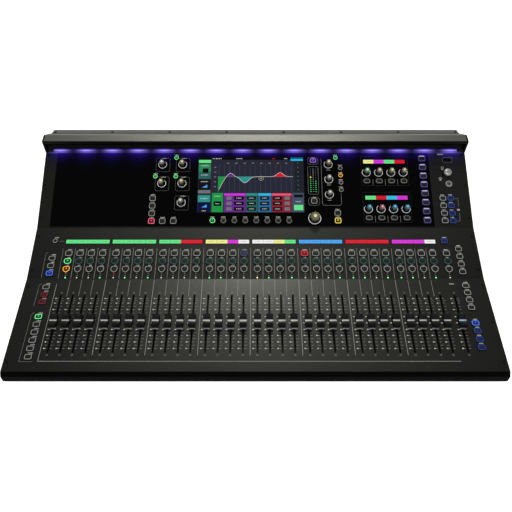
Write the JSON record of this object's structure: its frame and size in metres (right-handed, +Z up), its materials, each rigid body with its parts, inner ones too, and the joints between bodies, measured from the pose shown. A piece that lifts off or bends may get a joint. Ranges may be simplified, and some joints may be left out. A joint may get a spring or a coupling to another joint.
{
  "type": "mixing console",
  "caption": "Digital audio mixing console: sloping steel housing with channel faders, keys and rotary knobs, a touchscreen, a light hood and rear sockets.",
  "frame": {"origin": "under the middle of the console, on the surface its feet stand on", "axes": "+X to the operator's right along the row of faders, +Y away from the operator, +Z up"},
  "size_m": [0.805, 0.5148, 0.1993],
  "materials": {
    "housing": "satin black powder coat",
    "cheek": "black anodised plate",
    "deck_paint": "satin dark grey paint",
    "fascia": "gloss black",
    "hood_metal": "satin grey",
    "lamp": "translucent diffuser",
    "screw_steel": "blackened steel",
    "foot_rubber": "matte",
    "display": "display glass",
    "fader_steel": "plated steel",
    "board": "green board",
    "supply_case": "plain sheet",
    "socket": "black nylon",
    "rocker": "black",
    "cap": "satin black",
    "key": "satin",
    "knob": "soft satin"
  },
  "bodies": {
    "console": {"base_tray": "housing", "rear_panel": "housing", "side_cheek_left": "cheek", "side_cheek_right": "cheek", "fader_panel": "deck_paint", "key_panel": "deck_paint", "screen_panel": "deck_paint", "gloss_fascia": "fascia", "hood_bar": "hood_metal", "light_bar": "lamp", "panel_screws": "screw_steel", "feet": "foot_rubber", "touchscreen": "display", "channel_displays": "display", "fader_tracks": "fader_steel", "circuit_boards": "board", "power_supply": "supply_case", "input_sockets": "socket", "output_sockets": "socket", "jack_sockets": "socket", "data_ports": "socket", "mains_inlet": "socket"},
    "mains_switch": {"mains_switch": "rocker"},
    "master_fader": {"master_fader": "cap"},
    "fader_bank_1": {"fader_bank_1": "cap"},
    "fader_bank_2": {"fader_bank_2": "cap"},
    "fader_bank_3": {"fader_bank_3": "cap"},
    "fader_bank_4": {"fader_bank_4": "cap"},
    "fader_bank_5": {"fader_bank_5": "cap"},
    "fader_bank_6": {"fader_bank_6": "cap"},
    "fader_bank_7": {"fader_bank_7": "cap"},
    "fader_bank_8": {"fader_bank_8": "cap"},
    "fader_deck_keys": {"fader_deck_keys": "key"},
    "side_keys": {"side_keys": "key"},
    "mute_keys": {"mute_keys": "key"},
    "select_keys": {"select_keys": "key"},
    "listen_keys": {"listen_keys": "key"},
    "processing_keys": {"processing_keys": "key"},
    "screen_keys": {"screen_keys": "key"},
    "rotary_keys": {"rotary_keys": "key"},
    "soft_keys": {"soft_keys": "key"},
    "mute_group_keys": {"mute_group_keys": "key"},
    "large_rotary": {"large_rotary": "knob"},
    "phones_knob": {"phones_knob": "knob"},
    "gain_knob": {"gain_knob": "knob"},
    "high_pass_knob": {"high_pass_knob": "knob"},
    "gate_knob": {"gate_knob": "knob"},
    "compressor_knob": {"compressor_knob": "knob"},
    "pan_knob": {"pan_knob": "knob"},
    "high_band_knob": {"high_band_knob": "knob"},
    "mid_band_knob": {"mid_band_knob": "knob"},
    "low_band_knob": {"low_band_knob": "knob"},
    "soft_rotary_1": {"soft_rotary_1": "knob"},
    "soft_rotary_2": {"soft_rotary_2": "knob"},
    "soft_rotary_3": {"soft_rotary_3": "knob"},
    "soft_rotary_4": {"soft_rotary_4": "knob"},
    "soft_rotary_5": {"soft_rotary_5": "knob"},
    "soft_rotary_6": {"soft_rotary_6": "knob"},
    "soft_rotary_7": {"soft_rotary_7": "knob"},
    "soft_rotary_8": {"soft_rotary_8": "knob"}
  },
  "joints": [
    {"name": "master_fader_slide", "type": "slide", "parent": "console", "child": "master_fader", "axis": [0, 0.9914, 0.1305], "range_m": [-0.05, 0.05]},
    {"name": "fader_bank_1_slide", "type": "slide", "parent": "console", "child": "fader_bank_1", "axis": [0, 0.9914, 0.1305], "range_m": [-0.05, 0.05]},
    {"name": "fader_bank_2_slide", "type": "slide", "parent": "console", "child": "fader_bank_2", "axis": [0, 0.9914, 0.1305], "range_m": [-0.05, 0.05]},
    {"name": "fader_bank_3_slide", "type": "slide", "parent": "console", "child": "fader_bank_3", "axis": [0, 0.9914, 0.1305], "range_m": [-0.05, 0.05]},
    {"name": "fader_bank_4_slide", "type": "slide", "parent": "console", "child": "fader_bank_4", "axis": [0, 0.9914, 0.1305], "range_m": [-0.05, 0.05]},
    {"name": "fader_bank_5_slide", "type": "slide", "parent": "console", "child": "fader_bank_5", "axis": [0, 0.9914, 0.1305], "range_m": [-0.05, 0.05]},
    {"name": "fader_bank_6_slide", "type": "slide", "parent": "console", "child": "fader_bank_6", "axis": [0, 0.9914, 0.1305], "range_m": [-0.05, 0.05]},
    {"name": "fader_bank_7_slide", "type": "slide", "parent": "console", "child": "fader_bank_7", "axis": [0, 0.9914, 0.1305], "range_m": [-0.05, 0.05]},
    {"name": "fader_bank_8_slide", "type": "slide", "parent": "console", "child": "fader_bank_8", "axis": [0, 0.9914, 0.1305], "range_m": [-0.05, 0.05]},
    {"name": "fader_deck_keys_press", "type": "slide", "parent": "console", "child": "fader_deck_keys", "axis": [0, 0.1305, -0.9914], "range_m": [0, 0.0008], "stiffness_N_per_m": 1200, "springref_m": -0.002},
    {"name": "side_keys_press", "type": "slide", "parent": "console", "child": "side_keys", "axis": [0, 0.284, -0.9588], "range_m": [0, 0.0008], "stiffness_N_per_m": 1200, "springref_m": -0.002},
    {"name": "mute_keys_press", "type": "slide", "parent": "console", "child": "mute_keys", "axis": [0, 0.284, -0.9588], "range_m": [0, 0.0008], "stiffness_N_per_m": 1200, "springref_m": -0.002},
    {"name": "select_keys_press", "type": "slide", "parent": "console", "child": "select_keys", "axis": [0, 0.284, -0.9588], "range_m": [0, 0.0008], "stiffness_N_per_m": 1200, "springref_m": -0.002},
    {"name": "listen_keys_press", "type": "slide", "parent": "console", "child": "listen_keys", "axis": [0, 0.284, -0.9588], "range_m": [0, 0.0008], "stiffness_N_per_m": 1200, "springref_m": -0.002},
    {"name": "processing_keys_press", "type": "slide", "parent": "console", "child": "processing_keys", "axis": [0, 0.4462, -0.8949], "range_m": [0, 0.0008], "stiffness_N_per_m": 1200, "springref_m": -0.002},
    {"name": "screen_keys_press", "type": "slide", "parent": "console", "child": "screen_keys", "axis": [0, 0.4462, -0.8949], "range_m": [0, 0.0008], "stiffness_N_per_m": 1200, "springref_m": -0.002},
    {"name": "rotary_keys_press", "type": "slide", "parent": "console", "child": "rotary_keys", "axis": [0, 0.4462, -0.8949], "range_m": [0, 0.0008], "stiffness_N_per_m": 1200, "springref_m": -0.002},
    {"name": "soft_keys_press", "type": "slide", "parent": "console", "child": "soft_keys", "axis": [0, 0.4462, -0.8949], "range_m": [0, 0.0008], "stiffness_N_per_m": 1200, "springref_m": -0.002},
    {"name": "mute_group_keys_press", "type": "slide", "parent": "console", "child": "mute_group_keys", "axis": [0, 0.4462, -0.8949], "range_m": [0, 0.0008], "stiffness_N_per_m": 1200, "springref_m": -0.002},
    {"name": "large_rotary_turn", "type": "hinge", "parent": "console", "child": "large_rotary", "pos_m": [0.1101, 0.03668, 0.10935], "axis": [0, -0.4462, 0.8949], "continuous": true},
    {"name": "phones_knob_turn", "type": "hinge", "parent": "console", "child": "phones_knob", "pos_m": [0.3625, 0.11651, 0.14916], "axis": [0, -0.4462, 0.8949], "range_deg": [-150, 150]},
    {"name": "gain_knob_turn", "type": "hinge", "parent": "console", "child": "gain_knob", "pos_m": [-0.1767, 0.13423, 0.15799], "axis": [0, -0.4462, 0.8949], "continuous": true},
    {"name": "high_pass_knob_turn", "type": "hinge", "parent": "console", "child": "high_pass_knob", "pos_m": [-0.1384, 0.13423, 0.15799], "axis": [0, -0.4462, 0.8949], "continuous": true},
    {"name": "gate_knob_turn", "type": "hinge", "parent": "console", "child": "gate_knob", "pos_m": [-0.1767, 0.09924, 0.14054], "axis": [0, -0.4462, 0.8949], "continuous": true},
    {"name": "compressor_knob_turn", "type": "hinge", "parent": "console", "child": "compressor_knob", "pos_m": [-0.1384, 0.09924, 0.14054], "axis": [0, -0.4462, 0.8949], "continuous": true},
    {"name": "pan_knob_turn", "type": "hinge", "parent": "console", "child": "pan_knob", "pos_m": [-0.1384, 0.06451, 0.12323], "axis": [0, -0.4462, 0.8949], "continuous": true},
    {"name": "high_band_knob_turn", "type": "hinge", "parent": "console", "child": "high_band_knob", "pos_m": [0.1389, 0.13423, 0.15799], "axis": [0, -0.4462, 0.8949], "continuous": true},
    {"name": "mid_band_knob_turn", "type": "hinge", "parent": "console", "child": "mid_band_knob", "pos_m": [0.1389, 0.10658, 0.1442], "axis": [0, -0.4462, 0.8949], "continuous": true},
    {"name": "low_band_knob_turn", "type": "hinge", "parent": "console", "child": "low_band_knob", "pos_m": [0.1389, 0.07892, 0.13041], "axis": [0, -0.4462, 0.8949], "continuous": true},
    {"name": "soft_rotary_1_turn", "type": "hinge", "parent": "console", "child": "soft_rotary_1", "pos_m": [0.2106, 0.11919, 0.15049], "axis": [0, -0.4462, 0.8949], "continuous": true},
    {"name": "soft_rotary_2_turn", "type": "hinge", "parent": "console", "child": "soft_rotary_2", "pos_m": [0.2339, 0.11919, 0.15049], "axis": [0, -0.4462, 0.8949], "continuous": true},
    {"name": "soft_rotary_3_turn", "type": "hinge", "parent": "console", "child": "soft_rotary_3", "pos_m": [0.2572, 0.11919, 0.15049], "axis": [0, -0.4462, 0.8949], "continuous": true},
    {"name": "soft_rotary_4_turn", "type": "hinge", "parent": "console", "child": "soft_rotary_4", "pos_m": [0.2805, 0.11919, 0.15049], "axis": [0, -0.4462, 0.8949], "continuous": true},
    {"name": "soft_rotary_5_turn", "type": "hinge", "parent": "console", "child": "soft_rotary_5", "pos_m": [0.2106, 0.05288, 0.11743], "axis": [0, -0.4462, 0.8949], "continuous": true},
    {"name": "soft_rotary_6_turn", "type": "hinge", "parent": "console", "child": "soft_rotary_6", "pos_m": [0.2339, 0.05288, 0.11743], "axis": [0, -0.4462, 0.8949], "continuous": true},
    {"name": "soft_rotary_7_turn", "type": "hinge", "parent": "console", "child": "soft_rotary_7", "pos_m": [0.2572, 0.05288, 0.11743], "axis": [0, -0.4462, 0.8949], "continuous": true},
    {"name": "soft_rotary_8_turn", "type": "hinge", "parent": "console", "child": "soft_rotary_8", "pos_m": [0.2805, 0.05288, 0.11743], "axis": [0, -0.4462, 0.8949], "continuous": true},
    {"name": "mains_switch_rock", "type": "hinge", "parent": "console", "child": "mains_switch", "pos_m": [-0.352, 0.23803, 0.11909], "axis": [-1, 0, 0], "range_deg": [-16, 0]}
  ]
}
